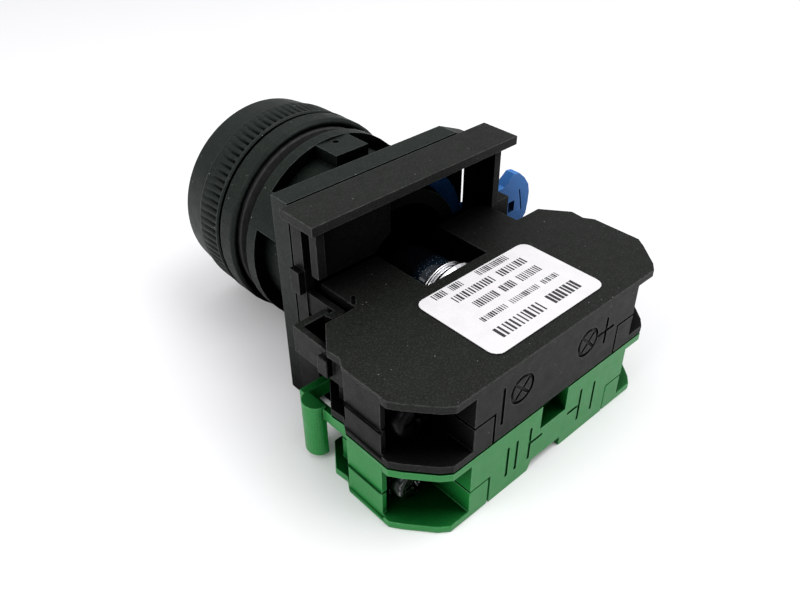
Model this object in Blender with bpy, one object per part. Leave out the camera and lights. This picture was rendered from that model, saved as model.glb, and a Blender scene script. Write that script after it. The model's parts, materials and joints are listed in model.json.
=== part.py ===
"""Illuminated push button for a 22 mm panel hole, with its three-place block holder.

The button axis is the Y axis. The front of the button faces -Y, the terminals face +Y, and the
three block places are stacked along Z: spare place on top, lamp module in the middle, contact
block at the bottom. The origin is on the button axis in the plane where the bezel meets the panel.
All lengths in this file are millimetres, and finish_mesh turns them into metres.
"""
import math

import bmesh
import bpy
from mathutils import Matrix, Vector

MM = 0.001
CLEAR = 0.3

# Button head, radii and stations along the axis.
BEZEL_R = 14.8
BEZEL_FRONT = -13.8
RIM_FRONT = -3.4
CUP_R = 12.3
CUP_BORE = 11.3
SLEEVE_R = 11.0
SLEEVE_BORE = 8.9
LUG_ANGLES = (90, 210, 330)
UNLOCK_TURN = 20
LENS_R = 11.0
TUBE_R = 7.2
TUBE_BORE = 5.6
TUBE_END = 13.2
LEDGE_FRONT = 9.0
LEDGE_REAR = 10.5

# Mounting collar behind the panel, and the frame that takes the blocks.
PANEL_GAP = 2.25
RING_REAR = 4.35
RING_R = 14.2
NECK_R = 12.4
SLAB_FRONT = 12.9
SLAB_FLOOR = 14.3
SLAB_REAR = 16.0
SLAB_HALF = 15.8
FRAME_TOP = 15.0
FRAME_BOTTOM = -14.8
FRAME_FRONT = SLAB_REAR + CLEAR
FRAME_FLOOR = FRAME_FRONT + 1.3
SLEEVE_END = FRAME_FLOOR
SHIELD_FRONT = FRAME_FLOOR + CLEAR
SHIELD_REAR = 19.0
FRAME_REAR = 22.2
FRAME_HALF = 17.0
FRAME_WALL = SLAB_HALF
FRAME_INSIDE = 14.6
FLANGE = 1.2
PORT_R = 12.3

# Blocks: one for each place, all on the same plan.
PITCH = 10.0
BLOCK_HALF = 4.85
PLATE = 1.0
NOSE_HALF = 14.2
NOSE_FRONT = 19.2
SHOULDER = 25.6
BLOCK_X = 22.0
BLOCK_REAR = 44.8
SEAM = -0.5
LAMP_Z = 0.0
CONTACT_Z = -PITCH

# Terminals: each screw faces +Y and stands on a pad across the front wall of its pocket.
POCKET_FRONT = 36.0
SCREW_X = 18.2
STRIP = 0.8
STRIP_HALF = 2.2
SCREW_R = 1.2
PAD_Y = POCKET_FRONT + CLEAR + STRIP / 2
CLAMP_FRONT = PAD_Y + STRIP / 2 + CLEAR
CLAMP = 0.7
HEAD_FRONT = CLAMP_FRONT + CLAMP + CLEAR

# Lamp and its socket.
CAP_R = 4.3
SOCKET_R = 4.75
SOCKET_FRONT = 27.3
SOCKET_REAR = 33.0

SMOOTH_ANGLE = math.radians(35)


def clear_scene():
    for old in list(bpy.data.objects):
        bpy.data.objects.remove(old)


def material(name, colour, roughness, metallic=0.0, alpha=1.0):
    """A Principled material, made once for each name."""
    found = bpy.data.materials.get(name)
    if found:
        return found
    made = bpy.data.materials.new(name)
    made.use_nodes = True
    shader = made.node_tree.nodes["Principled BSDF"]
    shader.inputs["Base Color"].default_value = (*colour, 1.0)
    shader.inputs["Roughness"].default_value = roughness
    shader.inputs["Metallic"].default_value = metallic
    shader.inputs["Alpha"].default_value = alpha
    made.diffuse_color = (*colour, 1.0)
    return made


def black_plastic():
    return material("black_plastic", (0.022, 0.022, 0.024), 0.5)


def green_plastic():
    return material("green_plastic", (0.03, 0.42, 0.13), 0.4)


def blue_plastic():
    return material("blue_plastic", (0.05, 0.24, 0.75), 0.4)


def plated_steel():
    return material("plated_steel", (0.75, 0.75, 0.76), 0.25, 1.0)


def tinned_copper():
    return material("tinned_copper", (0.72, 0.66, 0.55), 0.35, 1.0)


def finish_mesh(name, bm, look):
    """Close a bmesh in millimetres into an object in metres."""
    bmesh.ops.recalc_face_normals(bm, faces=bm.faces)
    bmesh.ops.scale(bm, vec=(MM, MM, MM), verts=bm.verts)
    mesh = bpy.data.meshes.new(name)
    bm.to_mesh(mesh)
    bm.free()
    mesh.shade_smooth()
    mesh.set_sharp_from_angle(angle=SMOOTH_ANGLE)
    piece = bpy.data.objects.new(name, mesh)
    bpy.context.scene.collection.objects.link(piece)
    mesh.materials.append(look)
    return piece


def turned(name, profile, look, segments=48, start=0.0, sweep=360.0):
    """Turn a profile of (radius, y) points about the Y axis.

    A profile that starts and ends on the axis is a solid; any other is closed on itself.
    """
    bm = bmesh.new()
    verts = [bm.verts.new((radius, y, 0.0)) for radius, y in profile]
    edges = [bm.edges.new(pair) for pair in zip(verts, verts[1:])]
    on_axis = profile[0][0] == 0 and profile[-1][0] == 0
    if not on_axis:
        edges.append(bm.edges.new((verts[-1], verts[0])))
    turn = Matrix.Rotation(-math.radians(start), 4, "Y")
    bmesh.ops.transform(bm, matrix=turn, verts=verts)
    whole = sweep >= 360.0
    bmesh.ops.spin(
        bm, geom=verts + edges, cent=(0, 0, 0), axis=(0, -1, 0),
        angle=math.radians(sweep), steps=segments, use_merge=whole)
    bmesh.ops.remove_doubles(bm, verts=bm.verts, dist=0.0001)
    if not whole:
        open_edges = [edge for edge in bm.edges if edge.is_boundary]
        bmesh.ops.holes_fill(bm, edges=open_edges, sides=0)
    return finish_mesh(name, bm, look)


def prism(name, outline, low, high, look, axis="Z"):
    """Push a flat outline through a third direction, from low to high.

    The outline is (x, y) for axis Z, (x, z) for axis Y and (y, z) for axis X.
    """
    bm = bmesh.new()
    if axis == "Z":
        verts = [bm.verts.new((x, y, low)) for x, y in outline]
        step = (0, 0, high - low)
    elif axis == "X":
        verts = [bm.verts.new((low, y, z)) for y, z in outline]
        step = (high - low, 0, 0)
    else:
        verts = [bm.verts.new((x, low, z)) for x, z in outline]
        step = (0, high - low, 0)
    face = bm.faces.new(verts)
    pushed = bmesh.ops.extrude_face_region(bm, geom=[face])
    moved = [item for item in pushed["geom"] if isinstance(item, bmesh.types.BMVert)]
    bmesh.ops.translate(bm, vec=step, verts=moved)
    return finish_mesh(name, bm, look)


def box(name, low, high, look):
    """A box between two corners."""
    outline = [(low[0], low[1]), (high[0], low[1]), (high[0], high[1]), (low[0], high[1])]
    return prism(name, outline, low[2], high[2], look)


def combine(target, tool, operation):
    """Apply a Boolean with the exact solver, and take the tool away."""
    step = target.modifiers.new("combine", "BOOLEAN")
    step.operation = operation
    step.solver = "EXACT"
    step.object = tool
    bpy.context.view_layer.objects.active = target
    bpy.ops.object.modifier_apply(modifier=step.name)
    bpy.data.objects.remove(tool)
    return target


def cut(target, *tools):
    for tool in tools:
        combine(target, tool, "DIFFERENCE")
    return target


def add(target, *tools):
    for tool in tools:
        combine(target, tool, "UNION")
    return target


def cut_box(target, low, high):
    return cut(target, box("cutter", low, high, black_plastic()))


def cut_prism(target, outline, low, high, axis="Z"):
    return cut(target, prism("cutter", outline, low, high, black_plastic(), axis))


def mirrored(outline):
    """The same outline on the other side of the X = 0 plane."""
    return [(-x, y) for x, y in reversed(outline)]


def both_sides(half):
    """Close a right-hand half outline, listed front to rear, with its mirror image."""
    return half + mirrored(half)


def arc(centre, radius, start, end, steps):
    """Points along an arc, angles in degrees."""
    angles = [math.radians(start + (end - start) * i / steps) for i in range(steps + 1)]
    return [(centre[0] + radius * math.cos(a), centre[1] + radius * math.sin(a)) for a in angles]


def along(piece, direction):
    """Turn a piece whose own axis is +Z to a direction in the XY plane."""
    piece.rotation_mode = "QUATERNION"
    piece.rotation_quaternion = Vector((0, 0, 1)).rotation_difference(Vector(direction))


def bake_place(piece):
    """Move a piece's place into its mesh, so that a Boolean partner can be made beside it."""
    bpy.context.view_layer.update()
    piece.data.transform(piece.matrix_world)
    piece.matrix_world = Matrix.Identity(4)


def helix(name, radius, wire, start, end, turns, look, steps=10):
    """A coil spring round the Y axis."""
    curve = bpy.data.curves.new(name, "CURVE")
    curve.dimensions = "3D"
    curve.bevel_depth = wire * MM
    curve.bevel_resolution = 1
    curve.use_fill_caps = True
    count = round(turns * steps)
    line = curve.splines.new("POLY")
    line.points.add(count)
    for i in range(count + 1):
        turn = 2 * math.pi * i / steps
        y = start + wire + (end - start - 2 * wire) * i / count
        place = Vector((radius * math.cos(turn), y, radius * math.sin(turn))) * MM
        line.points[i].co = (*place, 1.0)
    curve.materials.append(look)
    piece = bpy.data.objects.new(name, curve)
    bpy.context.scene.collection.objects.link(piece)
    return piece


def group(name, place=(0.0, 0.0, 0.0)):
    """An empty that holds the pieces of one body."""
    empty = bpy.data.objects.new(name, None)
    empty.location = Vector(place) * MM
    empty.empty_display_size = 0.005
    bpy.context.scene.collection.objects.link(empty)
    return empty


def hold(parent, *pieces):
    """Parent pieces without moving them."""
    bpy.context.view_layer.update()
    for piece in pieces:
        piece.parent = parent
        piece.matrix_parent_inverse = parent.matrix_world.inverted()


# ---------------------------------------------------------------- button head

def front_bezel():
    profile = [
        (12.6, BEZEL_FRONT + 0.4), (13.0, BEZEL_FRONT), (13.5, BEZEL_FRONT + 0.05),
        (13.95, BEZEL_FRONT + 0.5), (14.1, BEZEL_FRONT + 1.1), (14.5, -8.2), (14.75, -7.9),
        (14.75, -3.95), (14.5, RIM_FRONT - CLEAR), (12.6, RIM_FRONT - CLEAR)]
    return turned("front_bezel", profile, black_plastic())


def operator_body():
    """Cup for the cap, rim that seats on the panel, sleeve through the hole, bayonet lugs."""
    recess = 13.9
    profile = [
        (CUP_BORE, -12.6), (CUP_R, -12.6), (CUP_R, RIM_FRONT), (14.4, RIM_FRONT),
        (BEZEL_R, RIM_FRONT + 0.4), (BEZEL_R, -0.5), (14.4, 0.0), (recess, 0.0), (recess, -0.9),
        (SLEEVE_R, -0.9), (SLEEVE_R, SLEEVE_END), (SLEEVE_BORE, SLEEVE_END),
        (SLEEVE_BORE, LEDGE_REAR), (TUBE_R + CLEAR, LEDGE_REAR), (TUBE_R + CLEAR, LEDGE_FRONT),
        (SLEEVE_BORE, LEDGE_FRONT), (SLEEVE_BORE, -1.7), (CUP_BORE, -1.7)]
    body = turned("operator_body", profile, black_plastic())
    lug = [(10.5, FRAME_FRONT), (11.9, FRAME_FRONT), (11.9, FRAME_FLOOR), (10.5, FRAME_FLOOR)]
    for angle in LUG_ANGLES:
        add(body, turned("lug", lug, black_plastic(), 6, angle - 12, 24))
    return body


def panel_gasket():
    profile = [(11.3, -0.6), (13.6, -0.6), (13.6, 0.05), (13.45, 0.2), (11.45, 0.2), (11.3, 0.05)]
    return turned("panel_gasket", profile, material("gasket_rubber", (0.02, 0.02, 0.02), 0.8))


def button_lens():
    profile = [
        (0, -13.9), (6.0, -13.75), (9.6, -13.3), (10.6, -12.95), (LENS_R, -12.4), (LENS_R, -7.6),
        (9.9, -7.6), (9.9, -11.7), (9.6, -12.1), (0, -12.5)]
    look = material("lens", (0.85, 0.86, 0.84), 0.25, 0.0, 0.85)
    return turned("button_lens", profile, look)


def lens_diffuser():
    profile = [(0, -11.9), (9.3, -11.7), (9.5, -11.5), (9.5, -10.9), (0, -10.9)]
    return turned("lens_diffuser", profile, material("diffuser", (0.9, 0.9, 0.88), 0.6))


def button_plunger():
    """Flange that carries the lens, tube round the lamp, and hooks that stop and push."""
    profile = [
        (TUBE_BORE, -10.6), (9.6, -10.6), (9.6, -7.6), (TUBE_R, -7.6), (TUBE_R, TUBE_END),
        (TUBE_BORE, TUBE_END)]
    plunger = turned("button_plunger", profile, material("plunger", (0.03, 0.03, 0.03), 0.5))
    rest = LEDGE_REAR + CLEAR
    hook = [(6.8, rest), (8.4, rest), (8.4, TUBE_END), (6.8, TUBE_END)]
    for angle in (0, 180):
        add(plunger, turned("hook", hook, black_plastic(), 6, angle - 22, 44))
    return plunger


def button_head():
    body = group("head")
    hold(body, front_bezel(), operator_body(), panel_gasket())
    travel = group("button_travel")
    hold(travel, button_lens(), lens_diffuser(), button_plunger())
    radius = (SLEEVE_BORE + TUBE_R) / 2
    spring = helix("return_spring", radius, 0.35, -7.3, LEDGE_FRONT - CLEAR, 6, plated_steel(), 12)
    hold(travel, spring)


# ---------------------------------------------------------------- mounting collar and frame

def mounting_collar():
    """Ring against the panel, neck with webs and key, and the slab that carries the lock ring."""
    bore = SLEEVE_R + CLEAR
    profile = [
        (bore, PANEL_GAP), (RING_R - 0.3, PANEL_GAP), (RING_R, PANEL_GAP + 0.3),
        (RING_R, RING_REAR), (NECK_R, RING_REAR), (NECK_R, SLAB_FRONT + 0.4),
        (bore, SLAB_FRONT + 0.4)]
    collar = turned("mounting_collar", profile, black_plastic())
    web = [(11.9, RING_REAR - 0.4), (RING_R, RING_REAR - 0.4), (RING_R, 13.3), (11.9, 13.3)]
    for start, sweep in ((22, 22), (136, 22), (-48, 7), (-139, 7)):
        add(collar, turned("web", web, black_plastic(), 4, start, sweep))
    key = box("key", (-2.7, RING_REAR - 0.4, 11.9), (2.7, 8.75, 13.9), black_plastic())
    dot = turned("dot", [(0, -0.4), (0.45, -0.4), (0.45, 0.4), (0, 0.4)], black_plastic(), 12)
    dot.data.transform(Matrix.Rotation(math.radians(90), 4, "X"))
    dot.location = Vector((0.0, 5.3, 14.0)) * MM
    add(collar, key)
    bake_place(dot)
    cut(collar, dot)
    half = SLAB_HALF
    outline = [
        (-half, FRAME_BOTTOM), (half, FRAME_BOTTOM), (half, FRAME_TOP), (4.0 - half, FRAME_TOP),
        (-half, FRAME_TOP - 1.7)]
    slab = prism("slab", outline, SLAB_FRONT, SLAB_REAR, black_plastic(), "Y")
    tray = 14.0
    cut(slab, turned("tray", [(0, SLAB_FLOOR), (tray, SLAB_FLOOR), (tray, 18), (0, 18)],
                     black_plastic()))
    cut(slab, turned("bore", [(0, 10), (bore, 10), (bore, 18), (0, 18)], black_plastic()))
    cut_box(slab, (-18, SLAB_FLOOR, -4.0), (-9, 18, 9.1))
    cut_box(slab, (-18, 10, 0.6), (-15.25, 18, 9.1))
    add(collar, slab)
    return collar


def lock_ring():
    """Blue ring with a handle at the far end; it turns about the button axis."""
    front, rear = SLAB_FLOOR + CLEAR, SLAB_REAR
    bore = SLEEVE_R + CLEAR
    ring = turned(
        "lock_ring", [(bore, front), (13.7, front), (13.7, rear), (bore, rear)], blue_plastic())
    neck = [(-19.8, -2.8), (-12.6, -2.8), (-12.6, 2.8), (-19.8, 2.8)]
    add(ring, prism("neck", neck, front, rear, blue_plastic(), "Y"))
    upper = [
        (-19.4, 2.8), (-22.7, 2.9), (-24.1, 3.75), (-24.9, 4.35), (-26.0, 4.15), (-27.4, 2.9),
        (-28.5, 1.4)]
    lower = [
        (-28.85, 0.0), (-28.8, -1.8), (-28.5, -3.8), (-27.4, -4.9), (-25.5, -5.3), (-22.7, -4.9),
        (-20.8, -4.0), (-19.4, -2.8)]
    add(ring, prism("handle", upper + lower, 14.4, 16.15, blue_plastic(), "Y"))
    notch = [(10.8, 14), (12.2, 14), (12.2, 17), (10.8, 17)]
    for angle in LUG_ANGLES:
        cut(ring, turned("notch", notch, blue_plastic(), 6, angle + UNLOCK_TURN - 13, 26))
    return ring


def block_holder():
    """Frame with three places, open to the rear, that snaps onto the collar's slab."""
    half, wall, inside = FRAME_HALF, FRAME_WALL, FRAME_INSIDE
    front, floor, rear = FRAME_FRONT, FRAME_FLOOR, FRAME_REAR
    bottom, top = FRAME_BOTTOM + FLANGE, FRAME_TOP - FLANGE
    look = black_plastic()
    frame = box("block_holder", (-half, front, FRAME_BOTTOM), (half, rear, FRAME_TOP), look)
    cut_box(frame, (-inside, floor, bottom), (inside, rear + 1, top))
    cut_box(frame, (wall, front - 1, bottom), (half + 1, rear + 1, top))
    cut_box(frame, (-half - 1, front - 1, bottom), (-wall, rear + 1, top))
    cut(frame, turned("port", [(0, 15), (PORT_R, 15), (PORT_R, 19), (0, 19)], look))
    cut_box(frame, (-5.5, 15, -PITCH - 3.2), (5.5, 19, 3.2 - PITCH))
    cut_box(frame, (-13.35, 15, 3.0), (2.7, 19, top))
    shield = box("shield", (2.7, SHIELD_FRONT, 5.2), (inside + 0.1, SHIELD_REAR, top + 0.1), look)
    way = TUBE_R + CLEAR
    cut(shield, turned("way", [(0, 17), (way, 17), (way, 20), (0, 20)], look))
    add(frame, shield)
    cut_box(frame, (inside - 1, 18.3, 7.0), (half + 1, 19.8, top - 0.6))
    for low, high, edge in ((7.0, top, 21.1), (-3.0, 7.0, 18.4), (FRAME_BOTTOM - 1, -3.0, 20.4)):
        cut_box(frame, (inside - 1, edge, low), (half + 1, rear + 1, high))
    cut_box(frame, (-half - 1, 20.7, FRAME_BOTTOM - 1), (1 - inside, rear + 1, top))
    skirt = [(wall - 0.6, front), (wall + 0.6, front), (wall + 0.6, 20.4), (wall - 0.6, 20.4)]
    add(frame, prism("skirt", skirt, FRAME_BOTTOM + 0.1, -3.0, look))
    cut_prism(frame, [(20.5, -10.1), (24, -10.1), (24, -17), (15.7, -17)], inside - 0.6, 18, "X")
    lug = [(inside + 0.1, 18.0), (15.6, 18.0), (15.6, 23.3), (17.0, 23.3), (16.7, 24.4),
           (inside + 0.1, 24.4)]
    for z in (LAMP_Z, CONTACT_Z):
        add(frame, prism("lug", lug, z + 0.7, z + 3.8, look))
    add(frame, box("stop", (-18.3, 18.2, 0.0), (0.4 - wall, 20.6, 4.9), look))
    add(frame, box("snap", (wall - 0.6, 16.6, 3.8), (wall + 0.9, 18.3, 7.0), look))
    return frame


# ---------------------------------------------------------------- block shells

def plate_half():
    return [
        (NOSE_HALF, NOSE_FRONT), (NOSE_HALF, SHOULDER), (18.6, SHOULDER), (21.4, 29.3),
        (21.2, 31.3), (BLOCK_X, 32.6), (BLOCK_X, 39.5), (21.1, 40.8), (18.5, 43.9),
        (17.3, BLOCK_REAR)]


def block_solid(name, look):
    """Both shells of a block in one piece, about the block's own mid plane."""
    inner = BLOCK_HALF - PLATE
    solid = prism(name, both_sides(plate_half()), -BLOCK_HALF, BLOCK_HALF, look)
    waist = [(16.0, 25.0), (24, 25.0), (24, 32.3), (19.4, 32.3), (19.4, 28.4)]
    pocket = [
        (24, 38.2), (24, 46), (14.4, 46), (14.4, POCKET_FRONT), (21.0, POCKET_FRONT), (21.0, 38.2)]
    slot = [(14.1, 34), (15.5, 34), (15.5, PAD_Y + 0.7), (14.1, PAD_Y + 0.7)]
    for outline, reach in ((waist, inner), (pocket, inner), (slot, STRIP_HALF + 0.4)):
        cut_prism(solid, outline, -reach, reach)
        cut_prism(solid, mirrored(outline), -reach, reach)
    for side in (1, -1):
        cut(solid, screw_hole(side, 34.0, 3.0))
    return solid


def screw_hole(side, start, length):
    """Cutter for the clearance hole of a terminal screw, for side +1 or -1."""
    hole = rod("hole", SCREW_R + CLEAR, length, black_plastic())
    along(hole, (0, 1, 0))
    hole.location = Vector((side * SCREW_X, start, 0)) * MM
    bake_place(hole)
    return hole


def rod(name, radius, length, look, segments=16):
    """A plain rod from the origin up its own Z axis."""
    outline = arc((0, 0), radius, 0, 360 - 360 / segments, segments - 1)
    return prism(name, outline, 0, length, look)


def split_shells(solid, cover_name, base_name, z):
    """Part a block at its stepped seam: the cover keeps the middle of the rear wall."""
    base = solid.copy()
    base.data = solid.data.copy()
    base.name = base_name
    bpy.context.scene.collection.objects.link(base)
    solid.name = cover_name
    wall, step = 11.0, 41.6
    below = [
        (-30, 10), (30, 10), (30, 50), (wall, 50), (wall, step), (-wall, step), (-wall, 50),
        (-30, 50)]
    cut_prism(solid, below, -6, SEAM + CLEAR / 2)
    cut_box(base, (-30, 10, SEAM - CLEAR / 2), (30, 50, 6))
    cut_box(base, (-wall - CLEAR, step - CLEAR, -6), (wall + CLEAR, 50, 0))
    for shell in (solid, base):
        shell.location = (0, 0, z * MM)
    return [solid, base]


def strip_room(front):
    """Right-hand half of the hollow that the strips and the screw tips lie in."""
    return [
        (13.0, front), (17.9, 30.4), (17.9, 33.5), (20.2, 33.5), (20.2, 34.6), (11.8, 34.6),
        (11.8, 40.6)]


def lamp_module_shells():
    look = black_plastic()
    solid = block_solid("solid", look)
    inner = BLOCK_HALF - PLATE
    cut_prism(solid, both_sides(strip_room(29.7)), -inner, inner)
    cut_box(solid, (-5.3, 17, -6), (5.3, 28.2, 6))
    groove = SOCKET_R + 0.03
    cut(solid, turned("groove", [(0, 28), (groove, 28), (groove, 34.8), (0, 34.8)], look, 32))
    return split_shells(solid, "lamp_module_cover", "lamp_module_base", LAMP_Z)


def contact_block_shells():
    solid = block_solid("solid", green_plastic())
    inner = BLOCK_HALF - PLATE
    cut_prism(solid, both_sides(strip_room(26.8)), -inner, inner)
    cut_box(solid, (-16, 17, -6), (16, SHOULDER, -3.5))
    cut_box(solid, (-4.0, 20.6, -2.4), (4.0, 27.5, inner))
    cut_box(solid, (-1.8, 18, 1.7), (1.8, 21, 3.9))
    cut_box(solid, (-2.4, 42.8, 1.2), (2.4, 46, 6))
    foot = [(-2.1, -3.4), (3.4, -3.4), (4.6, -6), (-2.1, -6)]
    cut_prism(solid, foot, 42.8, 46, "Y")
    return split_shells(solid, "contact_block_cover", "contact_block_base", CONTACT_Z)


# ---------------------------------------------------------------- terminals

def strip(name, side, inner_points, z, dimple=None):
    """Bent metal strip from inside a block to the screw pad in its terminal pocket."""
    points = inner_points + [(14.8, 33.0), (14.8, PAD_Y), (20.4, PAD_Y)]
    path = [Vector(point) for point in points]
    left, right = [], []
    for i, point in enumerate(path):
        before = (point - path[i - 1]).normalized() if i else None
        after = (path[i + 1] - point).normalized() if i + 1 < len(path) else None
        first = before or after
        second = after or before
        mitre = (first + second).normalized()
        normal = Vector((-mitre.y, mitre.x))
        width = STRIP / 2 / mitre.dot(first)
        left.append(tuple(point + normal * width))
        right.append(tuple(point - normal * width))
    outline = left + right[::-1]
    if side < 0:
        outline = mirrored(outline)
    look = tinned_copper()
    made = prism(name, outline, -STRIP_HALF, STRIP_HALF, look)
    cut(made, screw_hole(side, PAD_Y - 1.0, 2.0))
    if dimple:
        tip = turned("tip", [(0, -0.5), (1.1, -0.5), (1.2, 0.3), (0, 0.3)], look, 16)
        tip.location = Vector((side * dimple[0], dimple[1], 0)) * MM
        bake_place(tip)
        add(made, tip)
    made.location = (0, 0, z * MM)
    return made


def clamp(name, side, z):
    """Square wire clamp under the screw head."""
    low, high = sorted((side * (SCREW_X - 2.3), side * (SCREW_X + 2.3)))
    made = box(name, (low, CLAMP_FRONT, -2.6), (high, CLAMP_FRONT + CLAMP, 2.6), plated_steel())
    cut(made, screw_hole(side, CLAMP_FRONT - 1.0, 3.0))
    made.location = (0, 0, z * MM)
    return made


def terminal_screw(name, side, z):
    """Cheese-head screw with a cross recess, its origin on its own axis."""
    look = plated_steel()
    profile = [
        (0, 1.5), (2.1, 1.5), (2.4, 1.2), (2.4, 0), (SCREW_R, 0), (SCREW_R, -3.9), (0.8, -4.3),
        (0, -4.3)]
    made = turned(name, profile, look, 20)
    for long_x, long_z in ((1.5, 0.3), (0.3, 1.5)):
        cut_box(made, (-long_x, 0.7, -long_z), (long_x, 3, long_z))
    made.location = Vector((side * SCREW_X, HEAD_FRONT, z)) * MM
    return made


def terminals(block, z):
    pieces = []
    for label, side in (("near", 1), ("far", -1)):
        pieces.append(clamp(f"{block}_clamp_{label}", side, z))
        pieces.append(terminal_screw(f"{block}_screw_{label}", side, z))
    return pieces


# ---------------------------------------------------------------- lamp

def lamp_socket():
    wall = SOCKET_R - 0.2
    profile = [
        (wall, SOCKET_FRONT), (SOCKET_R + 0.1, SOCKET_FRONT), (SOCKET_R + 0.2, SOCKET_FRONT + 0.3),
        (SOCKET_R + 0.1, SOCKET_FRONT + 0.6), (SOCKET_R - 0.03, SOCKET_FRONT + 0.75),
        (SOCKET_R - 0.03, SOCKET_REAR), (wall, SOCKET_REAR)]
    socket = turned("lamp_socket", profile, plated_steel(), 32)
    for side in (1, -1):
        low, high = sorted((side * 4.0, side * 5.4))
        cut_box(socket, (low, 26, -0.95), (high, 31.9, 0.95))
    return socket


def lamp_base():
    profile = [
        (0, 25.5), (4.6, 25.5), (4.9, 25.8), (4.9, 26.4), (CAP_R, 26.8), (CAP_R, 33.6), (3.2, 34.5),
        (0, 34.5)]
    base = turned("lamp_base", profile, plated_steel(), 32)
    reach = SOCKET_R - 0.1
    pin = rod("pin", 0.65, 2 * reach, plated_steel(), 12)
    along(pin, (1, 0, 0))
    pin.location = Vector((-reach, 31.0, 0)) * MM
    bake_place(pin)
    return add(base, pin)


def lamp_bulb():
    profile = [
        (0, 16.6), (1.9, 16.9), (3.2, 17.9), (4.0, 20.0), (4.0, 23.4), (3.6, 25.2), (0, 25.2)]
    look = material("lamp_glass", (0.05, 0.06, 0.1), 0.08, 0.0, 0.6)
    return turned("lamp_bulb", profile, look, 24)


def lamp_tip():
    profile = [(0, 34.8), (1.6, 34.8), (1.6, 35.5), (1.0, 36.2), (0, 36.4)]
    return turned("lamp_tip", profile, tinned_copper(), 16)


def rating_label():
    """Blank label with round corners on top of the lamp module."""
    x0, x1, y0, y1, radius = -10.4, 9.05, 29.9, 42.6, 1.3
    corners = [
        ((x1 - radius, y0 + radius), -90), ((x1 - radius, y1 - radius), 0),
        ((x0 + radius, y1 - radius), 90), ((x0 + radius, y0 + radius), 180)]
    outline = []
    for centre, start in corners:
        outline += arc(centre, radius, start, start + 90, 4)
    low = LAMP_Z + BLOCK_HALF + 0.04
    return prism("rating_label", outline, low, low + 0.12, material("label", (0.85, 0.85, 0.85), 0.5))


# ---------------------------------------------------------------- contact mechanism

def contact_plunger():
    look = material("contact_plunger", (0.75, 0.74, 0.7), 0.5)
    front = TUBE_END + CLEAR
    plunger = box("contact_plunger", (-1.5, front, 2.0), (1.5, 22.6, 3.6), look)
    add(plunger, box("carriage", (-2.2, 22.3, -2.0), (2.2, 23.6, 3.6), look))
    add(plunger, box("stem", (-1.1, 23.4, -1.1), (1.1, 29.6, 1.1), look))
    add(plunger, box("cap", (-1.9, 29.1, -1.9), (1.9, 29.9, 1.9), look))
    plunger.location = (0, 0, CONTACT_Z * MM)
    return plunger


def contact_bridge():
    look = tinned_copper()
    bridge = box("contact_bridge", (-8.6, 28.0, -1.9), (8.6, 28.8, 1.9), look)
    cut_box(bridge, (-1.4, 27, -1.4), (1.4, 30, 1.4))
    for x in (-7.2, 7.2):
        tip = turned("tip", [(0, -0.3), (1.2, -0.3), (1.1, 0.5), (0, 0.5)], look, 16)
        tip.location = Vector((x, 28.8, 0)) * MM
        bake_place(tip)
        add(bridge, tip)
    bridge.location = (0, 0, CONTACT_Z * MM)
    return bridge


def latch(name, look, z, low, tab):
    """Moulded release latch at the near end: arm, hook behind the frame's lug, finger tab."""
    pivot = Vector((20.15, 31.6, z))
    arm = box(name, (19.7, 21.9, low), (20.6, 32.0, 3.6), look)
    add(arm, box("hook", (15.9, 21.9, 1.5), (19.9, 23.0, 3.6), look))
    add(arm, tab)
    arm.data.transform(Matrix.Translation(-Vector((pivot.x, pivot.y, 0)) * MM))
    arm.location = pivot * MM
    return arm


def finger_tab():
    """Upright tab of the green latch, with a half-elliptical outer side."""
    root, reach, half_width = 20.6, 1.5, 1.75
    bow = [(root + reach * x, 24.9 + half_width * y) for x, y in arc((0, 0), 1.0, -90, 90, 14)]
    outline = [(20.2, bow[0][1])] + bow + [(20.2, bow[-1][1])]
    return prism("tab", outline, -4.0, 4.0, green_plastic())


# ---------------------------------------------------------------- assembly

def rear_assembly():
    body = group("rear_frame")
    hold(body, mounting_collar(), block_holder())
    pivot = group("lock_pivot", (0, SLAB_REAR, 0))
    hold(pivot, lock_ring())


def lamp_module():
    body = group("lamp_module")
    hold(body, *lamp_module_shells(), *terminals("lamp", LAMP_Z), rating_label())
    hold(body, lamp_socket(), lamp_base(), lamp_bulb(), lamp_tip())
    shell_path = [(5.45, 30.2), (5.45, 33.0)]
    centre_path = [(-1.8, 37.0), (9.5, 37.0), (9.5, 33.0)]
    hold(body, strip("lamp_shell_strip", 1, shell_path, LAMP_Z))
    hold(body, strip("lamp_centre_strip", -1, centre_path, LAMP_Z))
    nub = box("nub", (20.5, 27.4, 0.6), (21.5, 29.2, 3.0), black_plastic())
    hold(body, latch("lamp_module_latch", black_plastic(), LAMP_Z, -0.2, nub))


def contact_block():
    body = group("contact_block")
    hold(body, *contact_block_shells(), *terminals("contact", CONTACT_Z))
    path = [(5.9, 33.0)]
    hold(body, strip("fixed_contact_near", 1, path, CONTACT_Z, (7.2, 32.6)))
    hold(body, strip("fixed_contact_far", -1, path, CONTACT_Z, (7.2, 32.6)))
    hold(body, latch("contact_block_latch", green_plastic(), CONTACT_Z, 1.9, finger_tab()))
    moving = group("contact_travel")
    hold(moving, contact_plunger(), contact_bridge())
    inner = helix("bridge_spring", 1.75, 0.15, 23.7, 27.9, 3.5, plated_steel())
    outer = helix("contact_spring", 1.3, 0.2, 30.1, 40.4, 7, plated_steel())
    for spring in (inner, outer):
        spring.location = (0, 0, CONTACT_Z * MM)
    hold(moving, inner, outer)


def main():
    clear_scene()
    button_head()
    rear_assembly()
    lamp_module()
    contact_block()


main()
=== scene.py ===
"""Visual model of an illuminated 22 mm push button with block holder, lamp module and contact block.

The button axis is Y, the front faces -Y, the terminals face +Y, and the blocks are stacked along Z.
Sizes are in millimetres up to the point where a mesh is made.
"""
import json
import math
import random

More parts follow.
